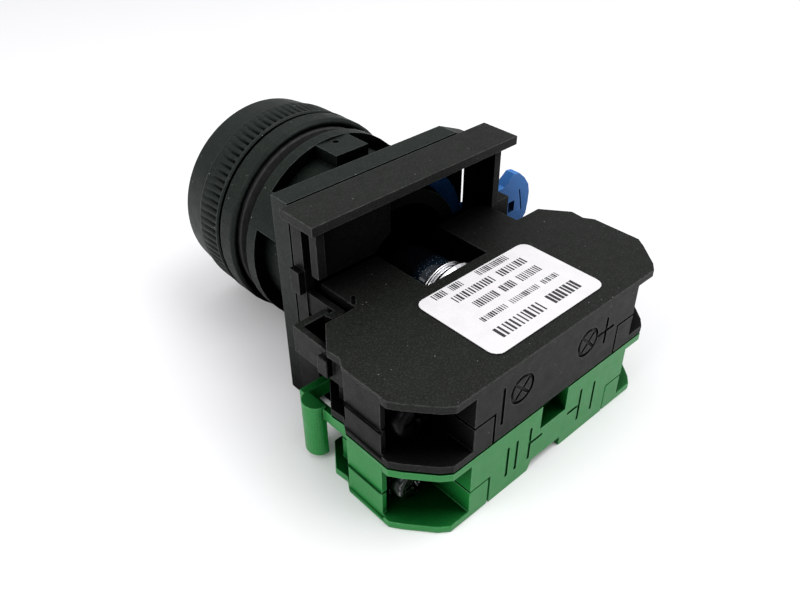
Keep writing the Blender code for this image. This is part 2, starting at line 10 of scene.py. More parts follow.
import bmesh
import bpy
from mathutils import Matrix, Vector


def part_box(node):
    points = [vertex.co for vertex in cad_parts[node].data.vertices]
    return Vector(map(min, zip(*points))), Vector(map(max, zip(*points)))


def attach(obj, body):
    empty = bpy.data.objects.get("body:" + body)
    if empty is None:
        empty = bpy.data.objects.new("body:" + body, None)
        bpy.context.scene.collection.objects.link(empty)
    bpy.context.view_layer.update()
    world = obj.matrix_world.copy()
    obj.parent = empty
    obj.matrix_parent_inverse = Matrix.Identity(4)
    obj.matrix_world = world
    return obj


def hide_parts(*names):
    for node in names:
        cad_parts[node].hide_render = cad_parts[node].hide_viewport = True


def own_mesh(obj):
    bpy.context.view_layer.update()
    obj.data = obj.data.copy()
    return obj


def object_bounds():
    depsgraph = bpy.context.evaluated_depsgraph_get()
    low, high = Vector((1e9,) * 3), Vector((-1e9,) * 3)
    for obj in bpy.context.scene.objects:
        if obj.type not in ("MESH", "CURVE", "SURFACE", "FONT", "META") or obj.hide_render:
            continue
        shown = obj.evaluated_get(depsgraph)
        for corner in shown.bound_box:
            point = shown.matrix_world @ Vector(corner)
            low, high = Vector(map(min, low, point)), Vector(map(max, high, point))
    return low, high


MM = 0.001
SMOOTH_ANGLE = math.radians(32)
FRAME_BODY = "frame"
BUTTON_BODY = "button"
CONTACT_Z = -10.0
MARK_DEPTH = 0.2
EASE_WIDE = 0.2
EASE_FINE = 0.06
EDGE_REACH = 0.22
CORNER_REACH = 19
FLOOR_HALF = 4000
FLOOR_GAP = 0.02
HEAD_NODES = ("operator_body", "mounting_collar")

# Strength of the sky at the horizon and overhead.
SKY_LOW = 0.24
SKY_HIGH = 1.15

# Camera: angles in degrees, distance and target in millimetres.
CAMERA_AZIMUTH = 137.42
CAMERA_ELEVATION = 36.63
CAMERA_ROLL = -0.35
CAMERA_DISTANCE = 78.9
CAMERA_TARGET = (15.87, 34.99, 11.82)
CAMERA_LENS = 35.13

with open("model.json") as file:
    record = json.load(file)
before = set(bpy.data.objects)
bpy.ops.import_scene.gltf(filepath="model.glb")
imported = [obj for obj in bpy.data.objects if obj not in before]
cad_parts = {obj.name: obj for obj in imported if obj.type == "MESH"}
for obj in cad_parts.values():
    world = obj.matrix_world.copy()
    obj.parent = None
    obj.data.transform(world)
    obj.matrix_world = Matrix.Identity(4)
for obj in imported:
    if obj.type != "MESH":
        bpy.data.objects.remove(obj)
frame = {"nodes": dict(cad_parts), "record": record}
cad_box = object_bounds()
nodes = frame["nodes"]
body_of_node = {
    node: body for body, members in frame["record"]["behaviour"]["bodies"].items()
    for node in members}
slot_of_node = {part["node"]: part["material_slot"] for part in frame["record"]["subparts"]}


def low(node):
    """Lowest corner of a CAD node, in millimetres."""
    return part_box(node)[0] / MM


def high(node):
    """Highest corner of a CAD node, in millimetres."""
    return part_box(node)[1] / MM


# ---------------------------------------------------------------- materials

class Look:
    """A node material in the making, round one Principled shader."""

    def __init__(self, name, **values):
        self.material = bpy.data.materials.new(name)
        self.material.use_nodes = True
        self.tree = self.material.node_tree
        self.shader = self.tree.nodes["Principled BSDF"]
        for socket, value in values.items():
            self.shader.inputs[socket.replace("_", " ")].default_value = value
        self.coords = self.tree.nodes.new("ShaderNodeTexCoord").outputs["Object"]
        self.normal = None

    def node(self, kind, inputs=None, **settings):
        """A new node, with its settings and with values or sockets fed to its inputs."""
        made = self.tree.nodes.new(kind)
        for key, value in settings.items():
            setattr(made, key, value)
        for socket, value in (inputs or {}).items():
            self.feed(made.inputs[socket], value)
        return made

    def feed(self, socket, value):
        """Link a socket to an input, or set the input to a value."""
        if isinstance(value, bpy.types.NodeSocket):
            self.tree.links.new(value, socket)
        else:
            socket.default_value = value

    def noise(self, size_mm, detail=2.0):
        """Noise whose features are about size_mm across."""
        made = self.node(
            "ShaderNodeTexNoise",
            {"Vector": self.coords, "Scale": 1 / (size_mm * MM), "Detail": detail, "Roughness": 0.6})
        return made.outputs["Fac"]

    def cells(self, size_mm):
        """Distance to the nearest of scattered points about size_mm apart."""
        made = self.node(
            "ShaderNodeTexVoronoi", {"Vector": self.coords, "Scale": 1 / (size_mm * MM)})
        return made.outputs["Distance"]

    def ramp(self, value, start, end, first=0.0, last=1.0):
        """Map start..end to first..last, and hold the ends."""
        made = self.node(
            "ShaderNodeMapRange",
            {"Value": value, "From Min": start, "From Max": end, "To Min": first, "To Max": last})
        return made.outputs["Result"]

    def edges(self):
        """1 on edges and 0 on flats, from how far a rounded normal turns away from the true one."""
        soft = self.node("ShaderNodeBevel", {"Radius": EDGE_REACH * MM}, samples=4)
        true = self.node("ShaderNodeNewGeometry")
        turn = self.node("ShaderNodeVectorMath", operation="DOT_PRODUCT")
        self.feed(turn.inputs[0], soft.outputs["Normal"])
        self.feed(turn.inputs[1], true.outputs["Normal"])
        return self.ramp(turn.outputs["Value"], 0.995, 0.93)

    def sky(self, alone):
        """How open the surface is to what lies around it, or to the piece itself if alone is set."""
        made = self.node(
            "ShaderNodeAmbientOcclusion", {"Distance": CORNER_REACH * MM}, samples=8, only_local=alone)
        return made.outputs["AO"]

    def corners(self, alone):
        """Painted shade mask: 0 deep in pockets and slots, where shade falls, and 1 on open surfaces.

        With alone set, what stands beside the piece counts only on faces that look up.
        """
        share = self.sky(False)
        if alone:
            true = self.node("ShaderNodeNewGeometry").outputs["Normal"]
            slope = self.node("ShaderNodeSeparateXYZ", {"Vector": true}).outputs["Z"]
            own = self.sky(True)
            share = self.minus(own, self.times(self.ramp(slope, 0.5, 0.9), self.minus(own, share)))
        return self.ramp(share, 0.4, 0.94)

    def times(self, first, second):
        """Product of two numbers or sockets."""
        made = self.node("ShaderNodeMath", operation="MULTIPLY")
        self.feed(made.inputs[0], first)
        self.feed(made.inputs[1], second)
        return made.outputs[0]

    def minus(self, first, second):
        """Difference of two numbers or sockets."""
        made = self.node("ShaderNodeMath", operation="SUBTRACT")
        self.feed(made.inputs[0], first)
        self.feed(made.inputs[1], second)
        return made.outputs[0]

    def mix(self, share, first, second):
        """The first colour where share is 0, the second where it is 1."""
        made = self.node("ShaderNodeMix", data_type="RGBA")
        self.feed(made.inputs["Factor"], share)
        self.feed(made.inputs["A"], first)
        self.feed(made.inputs["B"], second)
        return made.outputs["Result"]

    def bump(self, height, depth_mm):
        """Add relief on top of any relief already there."""
        made = self.node(
            "ShaderNodeBump", {"Height": height, "Distance": depth_mm * MM, "Strength": 1.0})
        if self.normal:
            self.feed(made.inputs["Normal"], self.normal)
        self.normal = made.outputs["Normal"]

    def done(self, colour, roughness):
        """Feed the shader and hand the material over."""
        self.feed(self.shader.inputs["Base Color"], colour)
        self.feed(self.shader.inputs["Roughness"], roughness)
        if self.normal:
            self.feed(self.shader.inputs["Normal"], self.normal)
        return self.material


def rgba(red, green, blue):
    """An opaque colour."""
    return (red, green, blue, 1.0)


def moulded(name, colour, pale, worn, rough, gloss, grain=0.02, dust=0.0, alone=False, **values):
    """Injection-moulded plastic: spark-eroded grain, faint mottling, dust, edges lightened as wear and
    painted highlight, and painted shade with less gloss in pockets and slots.
    """
    look = Look(name, **values)
    mottle = look.ramp(look.noise(2.5, 3.0), 0.35, 0.7)
    edges = look.edges()
    # Edges take the worn colour: partly real wear, partly a painted highlight where edges catch the
    # light.
    rubbed_and_highlit = look.times(edges, look.ramp(look.noise(0.7, 3.0), 0.36, 0.6, 0.25, 1.0))
    shade = look.mix(look.times(mottle, 0.4), colour, pale)
    shade = look.mix(look.ramp(look.noise(0.16, 2.0), 0.5, 0.72, 0.0, 0.35), shade, worn)
    shade = look.mix(rubbed_and_highlit, shade, worn)
    if dust:
        speck = look.times(
            look.ramp(look.cells(1.1), 0.085, 0.045), look.ramp(look.noise(3.0), 0.48, 0.56))
        shade = look.mix(look.times(speck, dust), shade, rgba(0.32, 0.34, 0.32))
    # Painted shade: pockets and slots darken towards a near-black copy of the colour, and their gloss
    # drops too.
    dark = rgba(*(c * 0.08 for c in colour[:3]))
    unshaded = look.corners(alone)
    shade = look.mix(unshaded, dark, shade)
    look.feed(look.shader.inputs["Specular IOR Level"], look.times(unshaded, gloss))
    look.bump(look.noise(0.2, 2.0), grain)
    look.bump(look.noise(3.5, 1.0), grain)
    wear = look.ramp(look.noise(1.6, 3.0), 0.3, 0.75, rough - 0.05, rough + 0.07)
    return look.done(shade, look.minus(wear, look.times(edges, 0.16)))


def metal(name, colour, dark, rough, bright=None):
    """Plated or stamped metal with fine tool marks, dull patches and, if bright is given, lighter edges
    that are partly worn metal and partly painted glints.
    """
    look = Look(name, Metallic=1.0)
    stain = look.ramp(look.noise(1.2, 4.0), 0.45, 0.75)
    shade = look.mix(look.times(stain, 0.5), colour, dark)
    if bright:
        # Lighter edges: partly worn metal, partly painted glints.
        bare = look.times(look.edges(), look.ramp(look.noise(0.5, 3.0), 0.42, 0.58))
        shade = look.mix(bare, shade, bright)
    look.bump(look.noise(0.12, 2.0), 0.004)
    return look.done(shade, look.ramp(look.noise(0.8, 3.0), 0.3, 0.7, rough - 0.05, rough + 0.12))


def lens_look():
    """Clear moulded lens with slight waves."""
    look = Look(
        "lens_look", Transmission_Weight=0.75, IOR=1.49, Coat_Weight=0.15, Coat_Roughness=0.08)
    look.bump(look.noise(4.0, 1.0), 0.01)
    return look.done(rgba(0.9, 0.91, 0.89), look.ramp(look.noise(1.0, 2.0), 0.3, 0.7, 0.08, 0.2))


def glass_look():
    """Smoked glass, bluer towards the cap, with painted glints there as bright specks."""
    look = Look("lamp_glass_look", Transmission_Weight=0.1, IOR=1.5, Specular_IOR_Level=0.2)
    height = look.node("ShaderNodeSeparateXYZ", {"Vector": look.coords}).outputs["Y"]
    near_cap = look.ramp(height, 22.9 * MM, 25.1 * MM)
    # Painted glints: bright specks near the cap.
    speck = look.times(look.ramp(look.cells(0.34), 0.22, 0.08), near_cap)
    tinted = look.mix(near_cap, rgba(0.001, 0.001, 0.0016), rgba(0.004, 0.009, 0.016))
    shade = look.mix(look.times(speck, look.noise(0.5)), tinted, rgba(0.5, 0.62, 0.75))
    return look.done(shade, look.ramp(look.noise(1.5, 2.0), 0.3, 0.7, 0.03, 0.08))


def board_look():
    """Dark board inside the lamp, with bright soldered specks."""
    look = Look("board_look")
    speck = look.ramp(look.cells(0.5), 0.16, 0.08)
    shade = look.mix(speck, rgba(0.004, 0.006, 0.02), rgba(0.7, 0.75, 0.85))
    look.bump(speck, 0.05)
    return look.done(shade, look.ramp(look.noise(0.8, 2.0), 0.3, 0.7, 0.2, 0.4))


def paper_look():
    """White label with faint fibres."""
    look = Look("label_look", Coat_Weight=0.2, Coat_Roughness=0.3)
    fibre = look.ramp(look.noise(1.8, 4.0), 0.4, 0.75)
    shade = look.mix(fibre, rgba(0.67, 0.655, 0.665), rgba(0.62, 0.61, 0.62))
    look.bump(look.noise(0.35, 3.0), 0.006)
    return look.done(shade, look.ramp(look.noise(2.0, 2.0), 0.3, 0.7, 0.4, 0.55))


def ink_look():
    """Printed ink, a little patchy."""
    look = Look("ink_look")
    patchy = look.ramp(look.noise(0.25, 3.0), 0.5, 0.75)
    shade = look.mix(patchy, rgba(0.008, 0.008, 0.01), rgba(0.05, 0.05, 0.05))
    return look.done(shade, look.ramp(look.noise(0.6, 2.0), 0.3, 0.7, 0.45, 0.6))


def rubber_look():
    """Soft black rubber."""
    look = Look("gasket_look")
    look.bump(look.noise(0.3, 3.0), 0.02)
    worn = look.ramp(look.noise(1.2, 3.0), 0.35, 0.7)
    shade = look.mix(worn, rgba(0.01, 0.01, 0.01), rgba(0.022, 0.022, 0.022))
    return look.done(shade, look.ramp(look.noise(0.9, 2.0), 0.3, 0.7, 0.7, 0.88))


def all_looks():
    """Every material of the object, by the name of its slot or piece."""
    return {
        "black_plastic": moulded(
            "black_look", rgba(0.0064, 0.0076, 0.0062), rgba(0.0105, 0.0120, 0.0100),
            rgba(0.058, 0.062, 0.057), 0.5, 0.12, dust=0.45),
        "green_plastic": moulded(
            "green_look", rgba(0.006, 0.176, 0.026), rgba(0.010, 0.208, 0.040),
            rgba(0.08, 0.32, 0.12), 0.38, 0.32, dust=0.08, alone=True),
        "head": moulded(
            "head_look", rgba(0.0056, 0.0086, 0.0066), rgba(0.0088, 0.0132, 0.0104),
            rgba(0.05, 0.064, 0.055), 0.48, 0.12, dust=0.8),
        "blue_plastic": moulded(
            "blue_look", rgba(0.027, 0.153, 0.48), rgba(0.036, 0.21, 0.6),
            rgba(0.12, 0.31, 0.66), 0.4, 0.2),
        "plunger_plastic": moulded(
            "plunger_look", rgba(0.45, 0.44, 0.40), rgba(0.55, 0.54, 0.5),
            rgba(0.6, 0.6, 0.56), 0.45, 0.4, grain=0.006, Subsurface_Weight=0.15,
            Subsurface_Scale=0.001),
        "diffuser": moulded(
            "diffuser_look", rgba(0.75, 0.75, 0.72), rgba(0.82, 0.82, 0.8),
            rgba(0.85, 0.85, 0.83), 0.55, 0.4, grain=0.01, Subsurface_Weight=0.3,
            Subsurface_Scale=0.002),
        "lens": lens_look(),
        "lamp_glass": glass_look(),
        "board": board_look(),
        "gasket_rubber": rubber_look(),
        "label_paper": paper_look(),
        "ink": ink_look(),
        "plated_steel": metal("plated_look", rgba(0.78, 0.78, 0.8), rgba(0.5, 0.5, 0.52), 0.18),
        # Painted shade: plated steel darkened to near black for the contact block's screws and clamps
        # deep in their pocket, with painted glints on the edges.
        "pocket_shaded_steel": metal(
            "pocket_shaded_look", rgba(0.02, 0.024, 0.022), rgba(0.008, 0.01, 0.009), 0.18, rgba(0.9, 0.92, 0.9)),
        # Painted shade: plated steel darkened further for the lamp block's screws and clamps in their
        # deeper pocket.
        "deep_shaded_steel": metal(
            "deep_shaded_look", rgba(0.005, 0.005, 0.0055), rgba(0.002, 0.002, 0.002), 0.3,
            rgba(0.012, 0.012, 0.012)),
        "spring_steel": metal(
            "spring_look", rgba(0.6, 0.6, 0.62), rgba(0.36, 0.36, 0.39), 0.28),
        "tinned_copper": metal(
            "tinned_look", rgba(0.62, 0.53, 0.38), rgba(0.45, 0.35, 0.23), 0.3),
    }


looks = all_looks()


# ---------------------------------------------------------------- mesh helpers

def place(piece, slot, body, stands_for=(), look=None):
    """Dress a new piece, ride it on its body and let it stand for CAD nodes."""
    piece.data.materials.clear()
    piece.data.materials.append(looks[look or slot])
    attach(piece, body)
    if stands_for:
        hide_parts(*stands_for)
    return piece


def smooth(mesh):
    """Smooth shading with sharp edges kept."""
    mesh.shade_smooth()
    mesh.set_sharp_from_angle(angle=SMOOTH_ANGLE)


def solid(name, bm):
    """A bmesh in millimetres as an object in metres."""
    bmesh.ops.recalc_face_normals(bm, faces=bm.faces)
    bmesh.ops.scale(bm, vec=(MM, MM, MM), verts=bm.verts)
    mesh = bpy.data.meshes.new(name)
    bm.to_mesh(mesh)
    bm.free()
    smooth(mesh)
    piece = bpy.data.objects.new(name, mesh)
    bpy.context.scene.collection.objects.link(piece)
    return piece


def rounded(points, radius, closed):
    """The same outline with each corner eased over the given distance."""
    steps = 3
    count = len(points)
    made = []
    for i, point in enumerate(points):
        if not closed and i in (0, count - 1):
            made.append(Vector(point))
            continue
        corner = Vector(point)
        before = Vector(points[i - 1]) - corner
        after = Vector(points[(i + 1) % count]) - corner
        reach = min(radius, before.length * 0.45, after.length * 0.45)
        first = corner + before.normalized() * reach
        last = corner + after.normalized() * reach
        for k in range(steps + 1):
            t = k / steps
            made.append(first * (1 - t) ** 2 + corner * 2 * t * (1 - t) + last * t * t)
    return made


def lathe(name, profile, segments, ease, shape=None):
    """Turn a (radius, y) profile about the Y axis; shape(angle, radius, y) may change the radius."""
    closed = profile[0][0] > 0
    outline = rounded(profile, ease, closed) if ease else profile
    bm = bmesh.new()
    rings = []
    for radius, y in outline:
        if radius < 1e-6:
            rings.append([bm.verts.new((0, y, 0))])
            continue
        ring = []
        for k in range(segments):
            angle = 2 * math.pi * k / segments
            r = shape(angle, radius, y) if shape else radius
            ring.append(bm.verts.new((r * math.cos(angle), y, r * math.sin(angle))))
        rings.append(ring)
    pairs = list(zip(rings, rings[1:]))
    if closed:
        pairs.append((rings[-1], rings[0]))
    for first, second in pairs:
        for k in range(segments):
            n = (k + 1) % segments
            if len(first) == 1:
                bm.faces.new((first[0], second[n], second[k]))
            elif len(second) == 1:
                bm.faces.new((first[k], first[n], second[0]))
            else:
                bm.faces.new((first[k], first[n], second[n], second[k]))
    return solid(name, bm)


def prism(name, outline, start, end, axis, bevel):
    """Push an outline through axis Z (x, y) or axis Y (x, z), with its edges bevelled."""
    bm = bmesh.new()
    if axis == "Z":
        verts = [bm.verts.new((x, y, start)) for x, y in outline]
        step = (0, 0, end - start)
    else:
        verts = [bm.verts.new((x, start, z)) for x, z in outline]
        step = (0, end - start, 0)
    pushed = bmesh.ops.extrude_face_region(bm, geom=[bm.faces.new(verts)])
    moved = [item for item in pushed["geom"] if isinstance(item, bmesh.types.BMVert)]
    bmesh.ops.translate(bm, vec=step, verts=moved)
    if bevel:
        bmesh.ops.bevel(
            bm, geom=list(bm.edges), offset=bevel, segments=2, affect="EDGES", profile=0.6,
            clamp_overlap=True)
    return solid(name, bm)


def block(name, lowest, highest, bevel):
    """A box between two corners, in millimetres."""
    outline = [
        (lowest[0], lowest[1]), (highest[0], lowest[1]), (highest[0], highest[1]),
        (lowest[0], highest[1])]
    return prism(name, outline, lowest[2], highest[2], "Z", bevel)


def cut_away(target, tool):
    """Take a cutter out of a piece."""
    step = target.modifiers.new("cut", "BOOLEAN")
    step.operation = "DIFFERENCE"
    step.solver = "EXACT"
    step.object = tool
    bpy.context.view_layer.objects.active = target
    bpy.ops.object.modifier_apply(modifier=step.name)
    bpy.data.objects.remove(tool)
    smooth(target.data)
    return target


def joined(name, pieces):
    """One object from several."""
    bpy.ops.object.select_all(action="DESELECT")
    for piece in pieces:
        piece.select_set(True)
    bpy.context.view_layer.objects.active = pieces[0]
    bpy.ops.object.join()
    pieces[0].name = name
    return pieces[0]


def add_easing(piece, width_mm):
    """Modifiers that round a mesh's edges."""
    weld = piece.modifiers.new("weld", "WELD")
    weld.merge_threshold = 2e-6
    flat = piece.modifiers.new("flat", "DECIMATE")
    flat.decimate_type = "DISSOLVE"
    flat.angle_limit = math.radians(0.5)
    edge = piece.modifiers.new("edge", "BEVEL")
    edge.width = width_mm * MM
    edge.segments = 3
    edge.limit_method = "ANGLE"
    edge.angle_limit = math.radians(25)
    edge.harden_normals = True
    edge.miter_outer = "MITER_ARC"


def ease_edges(node, width_mm, look=None):
    """Round a CAD node's edges with modifiers; its own mesh stays as packed."""
    piece = nodes[node]
    add_easing(piece, width_mm)
    piece.data.materials.clear()
    piece.data.materials.append(looks[look or slot_of_node[node]])


def carved(name, node, width_mm, cutters):
    """A copy of a CAD node with rounded edges and marks cut into it; it stands for the node."""
    source = nodes[node]
    piece = bpy.data.objects.new(name, source.data.copy())
    piece.matrix_world = source.matrix_world
    bpy.context.scene.collection.objects.link(piece)
    add_easing(piece, width_mm)
    bpy.context.view_layer.update()
    shaped = piece.evaluated_get(bpy.context.evaluated_depsgraph_get())
    mesh = bpy.data.meshes.new_from_object(shaped)
    mesh.transform(source.matrix_world)
    piece.modifiers.clear()
    piece.data = mesh
    piece.matrix_world = Matrix.Identity(4)
    for cutter in cutters:
        cut_away(piece, cutter)
    even = piece.modifiers.new("even", "WEIGHTED_NORMAL")
    even.keep_sharp = True
    even.weight = 90
    return place(piece, slot_of_node[node], body_of_node[node], [node])


def stroke(start, end, width, face, depth, axis="Y"):
    """Cutter for one engraved line on a face square to the axis, with half-round ends."""
    first, last = Vector(start), Vector(end)
    heading = math.atan2(last.y - first.y, last.x - first.x)
    outline = []
    for centre, turn in ((last, -90), (first, 90)):
        for k in range(7):
            angle = heading + math.radians(turn + 30 * k)
            outline.append(centre + Vector((math.cos(angle), math.sin(angle))) * width / 2)
    return prism("stroke", outline, face - depth, face + 0.5, axis, 0)


def ring_mark(centre, radius, width, face, depth):
    """Cutter for an engraved circle on a face square to Y."""
    inner, outer = radius - width / 2, radius + width / 2
    profile = [(inner, face - depth), (outer, face - depth), (outer, face + 0.5), (inner, face + 0.5)]
    made = lathe("ring_mark", profile, 48, 0)
    made.data.transform(Matrix.Translation(Vector((centre[0], 0, centre[1])) * MM))
    return made


# ---------------------------------------------------------------- button head

def knurled_bezel():
    """Screwed-on bezel: smooth nose, and a band of fine axial grooves before its rear edge."""
    grooves = 88
    steps = 8
    band_front, band_rear, depth = -8.3, -4.2, 0.42

    def groove(angle, radius, y):
        if radius < 14.3 or not band_front < y < band_rear:
            return radius
        phase = angle / (2 * math.pi) * grooves % 1.0
        fade = (y - band_front) / (band_rear - band_front)
        return radius - depth * fade ** 0.6 * max(0.0, 1.0 - abs(phase - 0.5) / 0.3)

    front = low("front_bezel").y
    rear = high("front_bezel").y
    profile = [
        (12.6, front + 0.5), (13.05, front), (13.45, front + 0.05), (14.0, front + 0.8),
        (14.45, -8.8), (14.6, -8.5), (14.66, band_front - 0.05), (14.68, band_front + 0.06),
        (14.7, -7.4), (14.7, -6.4), (14.7, -5.3), (14.7, band_rear - 0.06), (14.78, band_rear + 0.05),
        (14.8, -3.95), (14.6, rear), (12.6, rear)]
    piece = lathe("bezel_knurled", profile, grooves * steps, 0.03, groove)
    return place(piece, "black_plastic", FRAME_BODY, ["front_bezel"], "head")


def button_front():
    """Lens with a domed face and a fine texture ring, and the diffuser, both riding on the button."""
    front = low("button_lens").y
    rear = high("button_lens").y
    profile = [(0, front), (3.5, front + 0.04), (6.2, front + 0.16), (8.4, front + 0.36)]
    for k in range(5):
        edge = 8.8 + 0.3 * k
        profile += [(edge, front + 0.44 + 0.07 * k), (edge + 0.15, front + 0.56 + 0.07 * k)]
    profile += [
        (10.7, front + 0.98), (10.98, front + 1.5), (11.0, rear), (9.9, rear), (9.9, -11.7),
        (9.5, -12.1), (0, -12.4)]
    place(lathe("lens_textured", profile, 128, 0.12), "lens", BUTTON_BODY, ["button_lens"])
    face = low("lens_diffuser").y
    profile = [
        (0, face + 0.1), (8.9, face + 0.1), (9.1, face + 0.25), (9.4, face + 0.3),
        (9.45, face + 0.95), (0, face + 0.95)]
    place(lathe("diffuser_disc", profile, 96, 0.08), "diffuser", BUTTON_BODY, ["lens_diffuser"])


def coil(name, node, radius, wire, turns, centre_z=0.0):
    """Round-wire compression spring about the Y axis, with its end coils closed."""
    start, end = low(node).y + wire, high(node).y - wire
    around, across = 30, 10
    count = round(turns * around)
    closed = 2.15 * wire
    free = (end - start - 2 * closed) / (turns - 2)
    bm = bmesh.new()
    rings = []
    for i in range(count + 1):
        turn = i / around
        rise = closed * min(turn, 1.0) + free * min(max(turn - 1.0, 0.0), turns - 2)
        rise += closed * max(turn - turns + 1.0, 0.0)
        angle = 2 * math.pi * turn
        out = Vector((math.cos(angle), 0, math.sin(angle)))
        centre = out * radius + Vector((0, start + rise, centre_z))
        ring = []
        for k in range(across):
            side = 2 * math.pi * k / across
            offset = out * math.cos(side) + Vector((0, 1, 0)) * math.sin(side)
            ring.append(bm.verts.new(centre + offset * wire))
        rings.append(ring)
    for first, second in zip(rings, rings[1:]):
        for k in range(across):
            n = (k + 1) % across
            bm.faces.new((first[k], first[n], second[n], second[k]))
    bm.faces.new(rings[0])
    bm.faces.new(rings[-1])
    return place(solid(name, bm), "spring_steel", FRAME_BODY, [node])


def springs():
    """The three springs, each with a mesh of its own."""
    around_tube = coil("return_spring_coil", "return_spring", 8.05, 0.35, 6.5)
    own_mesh(around_tube)
    behind_stem = coil("contact_spring_coil", "contact_spring", 1.3, 0.2, 8, CONTACT_Z)
    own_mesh(behind_stem)
    on_stem = coil("bridge_spring_coil", "bridge_spring", 1.75, 0.15, 4.5, CONTACT_Z)
    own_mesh(on_stem)


def lamp():
    """Glass envelope with its board, and the plated base with its rings and side pins."""
    front, rear = low("lamp_bulb").y, high("lamp_bulb").y
    outer = [
        (0, front), (1.0, front + 0.06), (2.1, front + 0.38), (3.1, front + 1.2), (3.75, front + 2.4),
        (4.0, front + 3.9), (4.0, rear - 1.8), (3.6, rear)]
    inner = [(radius - 0.35, y) for radius, y in reversed(outer[1:])]
    inner.append((0, front + 0.4))
    place(lathe("lamp_envelope", outer + inner, 96, 0.2), "lamp_glass", FRAME_BODY, ["lamp_bulb"])
    board = [(0, rear - 4.4), (2.6, rear - 4.4), (2.9, rear - 4.0), (2.9, rear - 0.2), (0, rear - 0.2)]
    place(lathe("lamp_board", board, 48, 0.1), "plated_steel", FRAME_BODY, look="board")
    back = high("lamp_base").y
    edge = low("lamp_base").y
    profile = [
        (0, edge), (4.15, edge), (4.4, edge + 0.2), (4.4, edge + 0.55), (4.15, edge + 0.7),
        (4.15, edge + 0.95), (4.3, edge + 1.05), (4.3, edge + 1.25), (4.05, edge + 1.4),
        (4.2, edge + 2.2), (4.3, back - 0.9), (3.2, back), (0, back)]
    base = lathe("base_shell", profile, 96, 0.07)
    pin = lathe("pin", [(0, -4.65), (0.65, -4.65), (0.65, 4.65), (0, 4.65)], 24, 0.12)
    pin.data.transform(Matrix.Rotation(math.radians(90), 4, "Z"))
    pin.data.transform(Matrix.Translation(Vector((0, 31.0, 0)) * MM))
    whole = joined("lamp_cap", [base, pin])
    place(whole, "plated_steel", FRAME_BODY, ["lamp_base"])


# ---------------------------------------------------------------- terminals

def screw(name, node, look):
    """Cheese-head terminal screw with a cross recess and a real thread."""
    middle = (low(node) + high(node)) / 2
    top, tip = high(node).y, low(node).y
    seat = top - 1.5
    pitch = 0.5

    def thread(angle, radius, y):
        phase = (y / pitch + angle / (2 * math.pi)) % 1.0
        return radius - 0.2 + 0.4 * min(abs(phase - 0.5), 0.5)

    head = lathe("head", [
        (0, top), (1.9, top), (2.3, top - 0.15), (2.4, top - 0.4), (2.4, seat), (0, seat)], 64, 0.1)
    for long_x, long_z in ((1.55, 0.28), (0.28, 1.55)):
        cut_away(head, block("slot", (-long_x, top - 0.75, -long_z), (long_x, top + 1, long_z), 0))
    cut_away(head, lathe("cone", [(0, top - 1.0), (0.75, top + 0.1), (0, top + 0.1)], 24, 0))
    rings = [(1.2, seat + 0.05 - 0.0625 * k) for k in range(round((seat - tip - 0.25) / 0.0625))]
    shank = [(0, seat + 0.05)] + rings + [(0.8, tip), (0, tip)]
    piece = joined(name, [head, lathe("shank", shank, 40, 0, thread)])
    piece.data.transform(Matrix.Translation(Vector((middle.x, 0, middle.z)) * MM))
    return place(piece, "plated_steel", body_of_node[node], [node], look)


def clamp(name, node, look):
    """Square wire clamp with a toothed underside and a hole for its screw."""
    first, last = low(node), high(node)
    middle = (first + last) / 2
    teeth = 9
    step = (last.x - first.x) / teeth
    outline = [(last.x, last.y), (first.x, last.y)]
    for k in range(teeth):
        outline.append((first.x + step * k, first.y + 0.14))
        outline.append((first.x + step * (k + 0.5), first.y))
    outline.append((last.x, first.y + 0.14))
    piece = prism(name, outline, first.z, last.z, "Z", 0.03)
    hole = lathe("hole", [
        (0, first.y - 1), (1.5, first.y - 1), (1.5, last.y + 1), (0, last.y + 1)], 40, 0)
    hole.data.transform(Matrix.Translation(Vector((middle.x, 0, middle.z)) * MM))
    cut_away(piece, hole)
    return place(piece, "plated_steel", FRAME_BODY, [node], look)


def terminals():
    """Screws and wire clamps of both blocks."""
    # Painted shade: each block's screws and clamps take a darkened copy of plated steel.
    for unit, look in (("lamp", "deep_shaded_steel"), ("contact", "pocket_shaded_steel")):
        for side in ("near", "far"):
            screw(f"{unit}_terminal_screw_{side}", f"{unit}_screw_{side}", look)
            clamp(f"{unit}_wire_clamp_{side}", f"{unit}_clamp_{side}", look)


# ---------------------------------------------------------------- marks

def lamp_symbol(centre, face):
    """Circle with a cross, the usual sign of a lamp."""
    x, z = centre
    reach = 0.95
    return [
        ring_mark(centre, 1.75, 0.45, face, MARK_DEPTH),
        stroke((x - reach, z - reach), (x + reach, z + reach), 0.42, face, MARK_DEPTH),
        stroke((x - reach, z + reach), (x + reach, z - reach), 0.42, face, MARK_DEPTH)]


def bars(marks, face):
    """Cutters for straight engraved lines on a face square to Y."""
    return [stroke(first, last, 0.48, face, MARK_DEPTH) for first, last in marks]


def belts(extra, lowest, highest):
    """Cutters that set both side walls of a shell back from the rim of its plate."""
    face = high("contact_block_cover").x - 0.28 - extra
    made = []
    for side in (1, -1):
        first, last = sorted((side * face, side * (face + 2)))
        made.append(block("belt", (first, 31.5, lowest), (last, 38.6, highest), 0))
    return made


